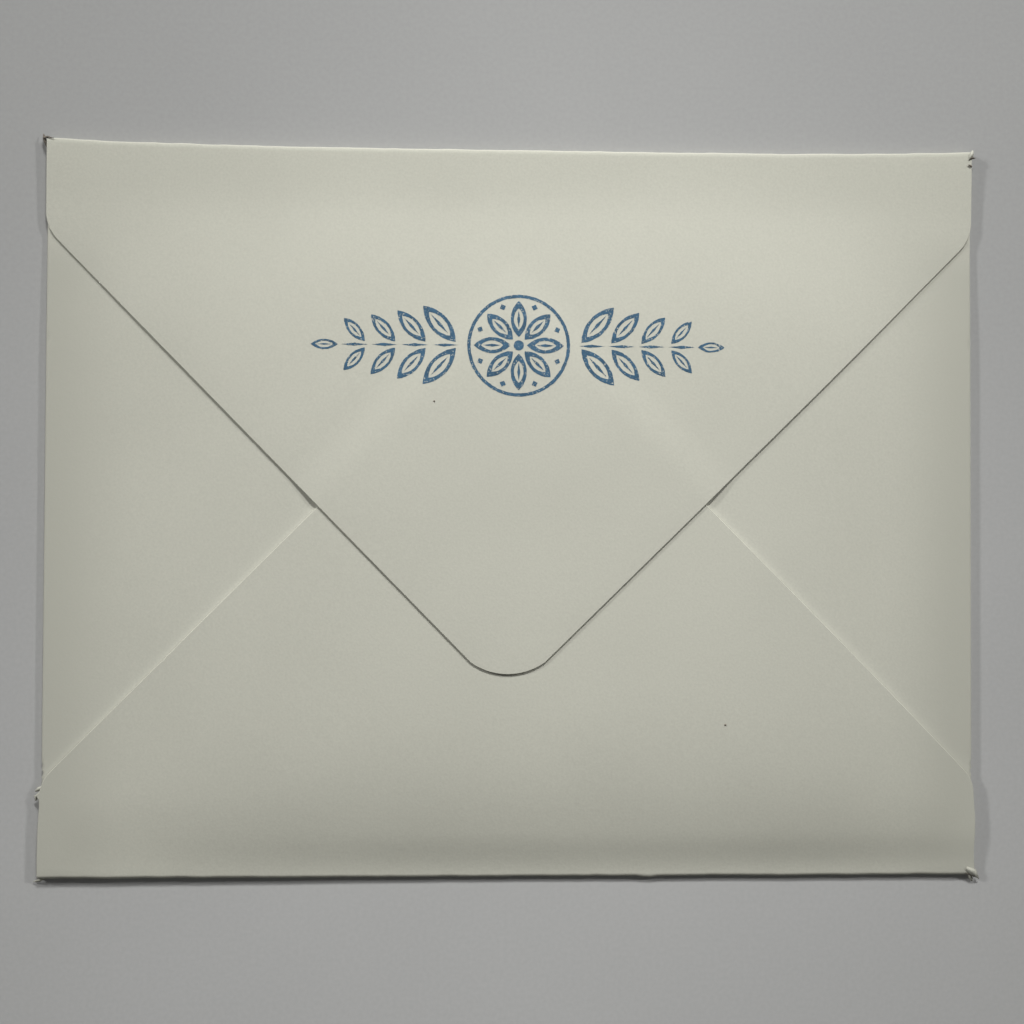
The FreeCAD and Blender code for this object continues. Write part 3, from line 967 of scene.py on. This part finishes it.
def bump_node(nodes, links, height, strength, distance, below=None):
    """Small relief from a value."""
    node = nodes.new("ShaderNodeBump")
    node.inputs["Strength"].default_value = strength
    node.inputs["Distance"].default_value = distance
    links.new(height, node.inputs["Height"])
    if below is not None:
        links.new(below, node.inputs["Normal"])
    return node.outputs["Normal"]


def scaled(colour, factor):
    """A colour made lighter or darker."""
    return tuple(channel * factor for channel in colour)


def grey(level):
    """A colour without a tint."""
    return (level, level, level)


PAPER_COLOUR = (0.512, 0.509, 0.435)
# Painted shade: how much darker the paper is drawn towards its left and right sides
SIDE_SHADE_FACTOR = 0.87
# Painted shade on the dark torn slivers, and the specks' own dark colour
SHADE_AND_SPECK_COLOUR = (0.12, 0.105, 0.085)
INK_COLOUR = (0.034, 0.089, 0.148)
FLOOR_COLOUR = (0.385, 0.385, 0.376)

# Where painted shade darkens the paper towards its sides and where painted shade runs across the
# floor, in metres from the middle
SHADE_ASIDE = (0.058, 0.0735)
SHADE_BELOW = (0.046, 0.036)
FLOOR_SHADE = (-0.11, 0.11)


def paper_material():
    """Cream uncoated paper: cloudy, with a fine tooth and short fibres, and painted shade towards
    its sides.
    """
    material, nodes, links, shader, place = new_material("cream_paper")
    cloud = noise_node(nodes, links, place, 45, 3)
    grain = noise_node(nodes, links, place, 2600, 3, 0.65)
    stops = ((0.35, scaled(PAPER_COLOUR, 0.985)), (0.65, scaled(PAPER_COLOUR, 1.015)))
    base = ramp_node(nodes, links, cloud, stops)
    tooth = ramp_node(nodes, links, grain, ((0.3, grey(0.95)), (0.7, grey(1.04))))
    colour = mix_node(nodes, links, 1.0, base, tooth, "MULTIPLY")
    # Painted shade: the paper is drawn darker towards its left and right sides, fading out near the
    # top
    axes = axes_node(nodes, links, place)
    aside = span_node(nodes, links, math_node(nodes, links, "ABSOLUTE", axes["X"]), *SHADE_ASIDE)
    below = span_node(nodes, links, axes["Y"], *SHADE_BELOW)
    painted_shade = math_node(nodes, links, "MULTIPLY", aside, below)
    colour = mix_node(nodes, links, painted_shade, colour, scaled(PAPER_COLOUR, SIDE_SHADE_FACTOR))
    links.new(colour, shader.inputs["Base Color"])
    shader.inputs["Roughness"].default_value = 0.88
    shader.inputs["Specular IOR Level"].default_value = 0.25
    fine = bump_node(nodes, links, grain, 0.35, 0.00004)
    slow = noise_node(nodes, links, place, 700, 2)
    links.new(bump_node(nodes, links, slow, 0.3, 0.00005, fine), shader.inputs["Normal"])
    return material


def ink_material():
    """Blue stamping ink, thinner in places so that the paper shows through in specks."""
    material, nodes, links, shader, place = new_material("blue_stamping_ink")
    blotch = noise_node(nodes, links, place, 900, 3)
    speck = noise_node(nodes, links, place, 3800, 2, 0.6)
    stops = ((0.3, scaled(INK_COLOUR, 0.8)), (0.7, scaled(INK_COLOUR, 1.3)))
    body = ramp_node(nodes, links, blotch, stops)
    bare = ramp_node(nodes, links, speck, ((0.6, grey(0)), (0.68, grey(0.8))))
    colour = mix_node(nodes, links, bare, body, PAPER_COLOUR)
    links.new(colour, shader.inputs["Base Color"])
    shader.inputs["Roughness"].default_value = 0.7
    shader.inputs["Specular IOR Level"].default_value = 0.3
    links.new(bump_node(nodes, links, speck, 0.3, 0.00003), shader.inputs["Normal"])
    return material


def dark_material():
    """Torn fibres coloured dark as painted shade, and the specks' own dark colour."""
    material, nodes, links, shader, place = new_material("shaded_fibre_and_speck")
    blotch = noise_node(nodes, links, place, 1800, 2)
    stops = ((0.35, scaled(SHADE_AND_SPECK_COLOUR, 0.7)), (0.7, scaled(SHADE_AND_SPECK_COLOUR, 1.8)))
    links.new(ramp_node(nodes, links, blotch, stops), shader.inputs["Base Color"])
    shader.inputs["Roughness"].default_value = 0.9
    links.new(bump_node(nodes, links, blotch, 0.5, 0.0001), shader.inputs["Normal"])
    return material


def glue_material():
    """Dried paper glue, slightly yellow and patchy."""
    material, nodes, links, shader, place = new_material("dried_glue")
    patch = noise_node(nodes, links, place, 300, 3)
    stops = ((0.3, (0.62, 0.58, 0.46)), (0.7, (0.74, 0.72, 0.62)))
    links.new(ramp_node(nodes, links, patch, stops), shader.inputs["Base Color"])
    shader.inputs["Roughness"].default_value = 0.45
    links.new(bump_node(nodes, links, patch, 0.4, 0.0001), shader.inputs["Normal"])
    return material


def floor_material():
    """A plain pale table top."""
    material, nodes, links, shader, place = new_material("pale_floor")
    cloud = noise_node(nodes, links, place, 22, 4)
    grain = noise_node(nodes, links, place, 1500, 2)
    stops = ((0.3, scaled(FLOOR_COLOUR, 0.98)), (0.7, scaled(FLOOR_COLOUR, 1.02)))
    base = ramp_node(nodes, links, cloud, stops)
    tooth = ramp_node(nodes, links, grain, ((0.3, grey(0.97)), (0.7, grey(1.02))))
    colour = mix_node(nodes, links, 1.0, base, tooth, "MULTIPLY")
    span = span_node(nodes, links, axes_node(nodes, links, place)["Y"], *FLOOR_SHADE)
    shade = ramp_node(nodes, links, span, ((0.0, grey(1.16)), (1.0, grey(0.9))))
    links.new(mix_node(nodes, links, 1.0, colour, shade, "MULTIPLY"), shader.inputs["Base Color"])
    shader.inputs["Roughness"].default_value = 0.8
    shader.inputs["Specular IOR Level"].default_value = 0.2
    return material


# The stage

FLOOR_SIZE = 1.0
AMBIENT = 0.09
BACKDROP = 0.62

# The lamps: their sizes, their shares of the light, and where each hangs: azimuth, elevation
# and distance
MAIN_SIZE = (0.165, 0.085)
MAIN_PLACE = (math.radians(82), math.radians(34), 0.75)
MAIN_SHARE = 0.31
POOL_ANGLE = math.radians(13.9)
POOL_SOFTNESS = 0.045
POOL_SHIFT = (0.005, 0.006)
POOL_STRETCH = 1.12
POOL_SHARE = 0.265
SIDE_SIZE = (0.12, 0.10)
LEFT_PLACE = (math.radians(152), math.radians(22), 1.2)
LEFT_SHARE = 0.185
RIGHT_PLACE = (math.radians(28), math.radians(28), 1.2)
RIGHT_SHARE = 0.16

CAMERA_LENS = 50.0
CAMERA_PLACE = (-0.009728, -0.004681, 0.224358)
CAMERA_TURN = (1.13, -2.415, 0.241)


def make_floor(material):
    """The surface that the envelope lies on."""
    half = FLOOR_SIZE / 2 / MM
    corners = [Vector((x * half, y * half, 0)) for x, y in ((-1, -1), (1, -1), (1, 1), (-1, 1))]
    floor = make_object("floor", corners, [(0, 1, 2, 3)], [material])


def make_area(name, size, place, share):
    """An even lamp that gives a share of the light falling on the floor at the envelope."""
    lamp = bpy.data.lights.new(name, "AREA")
    lamp.shape = "RECTANGLE"
    lamp.size, lamp.size_y = size
    hang(lamp, place, share * math.pi**2)


def make_pool(name, angle, place, share):
    """A soft oval spot that gathers part of the main light about the middle of the envelope."""
    lamp = bpy.data.lights.new(name, "SPOT")
    lamp.spot_size = angle
    lamp.spot_blend = 1.0
    lamp.shadow_soft_size = POOL_SOFTNESS
    item = hang(lamp, place, share * 4 * math.pi**2)
    item.location.x += POOL_SHIFT[0]
    item.location.y += POOL_SHIFT[1]
    item.scale.x = POOL_STRETCH


def hang(lamp, place, strength):
    """Hangs a lamp in some direction from the envelope, facing its middle."""
    azimuth, elevation, distance = place
    lamp.energy = strength * distance**2 / math.sin(elevation)
    item = bpy.data.objects.new(lamp.name, lamp)
    level = math.cos(elevation)
    toward = Vector((level * math.cos(azimuth), level * math.sin(azimuth), math.sin(elevation)))
    item.location = toward * distance
    item.rotation_euler = item.location.to_track_quat("Z", "Y").to_euler()
    bpy.context.scene.collection.objects.link(item)
    return item


def make_world():
    """A little even light, and a pale backdrop where the floor ends."""
    world = bpy.data.worlds.new("studio")
    world.use_nodes = True
    nodes, links = world.node_tree.nodes, world.node_tree.links
    shown, lit = nodes["Background"], nodes.new("ShaderNodeBackground")
    shown.inputs["Color"].default_value = (BACKDROP, BACKDROP, BACKDROP, 1)
    lit.inputs["Color"].default_value = (1, 1, 1, 1)
    lit.inputs["Strength"].default_value = AMBIENT
    path = nodes.new("ShaderNodeLightPath")
    seen = path.outputs["Is Camera Ray"]
    for ray in ("Is Glossy Ray", "Is Transmission Ray"):
        seen = math_node(nodes, links, "MAXIMUM", seen, path.outputs[ray])
    mix = nodes.new("ShaderNodeMixShader")
    links.new(seen, mix.inputs[0])
    links.new(lit.outputs[0], mix.inputs[1])
    links.new(shown.outputs[0], mix.inputs[2])
    links.new(mix.outputs[0], nodes["World Output"].inputs["Surface"])
    bpy.context.scene.world = world


def make_camera():
    """The photograph's view, from above."""
    camera = bpy.data.cameras.new("camera")
    camera.lens = CAMERA_LENS
    camera.clip_start = 0.01
    item = bpy.data.objects.new("camera", camera)
    item.location = CAMERA_PLACE
    item.rotation_euler = Euler([math.radians(turn) for turn in CAMERA_TURN])
    bpy.context.scene.collection.objects.link(item)
    bpy.context.scene.camera = item


def main():
    """Builds the pieces, their finish and the stage."""
    bpy.context.scene.view_settings.view_transform = "Standard"
    make_camera()
    make_world()
    make_floor(floor_material())
    make_area("main_lamp", MAIN_SIZE, MAIN_PLACE, MAIN_SHARE)
    make_pool("pool_lamp", POOL_ANGLE, MAIN_PLACE, POOL_SHARE)
    make_area("left_lamp", SIDE_SIZE, LEFT_PLACE, LEFT_SHARE)
    make_area("right_lamp", SIDE_SIZE, RIGHT_PLACE, RIGHT_SHARE)

    paper = paper_material()
    sheet = make_sheet(paper)
    torn = make_slivers("torn_corners", PALE_SLIVERS, (), paper)
    # Painted shade: the dark slivers carry the shade of torn undersides in their colour; the specks
    # are the paper's own dark marks
    dark_pieces = make_slivers("shaded_slivers_and_specks", DARK_SLIVERS, SPECKS, dark_material())
    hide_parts("envelope_sheet")
    stamp = make_print(ink_material())
    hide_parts("stamped_ornament")
    glue = glue_material()
    strips = [
        (make_glue("left_glue_strip", -1, glue), "seam_glue_left"),
        (make_glue("right_glue_strip", 1, glue), "seam_glue_right"),
    ]
    for strip, node in strips:
        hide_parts(node)
        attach(strip, "root")
    for piece, slot in ((sheet, "paper"), (torn, "paper"), (dark_pieces, "paper"), (stamp, "ink")):
        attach(piece, "root")


main()
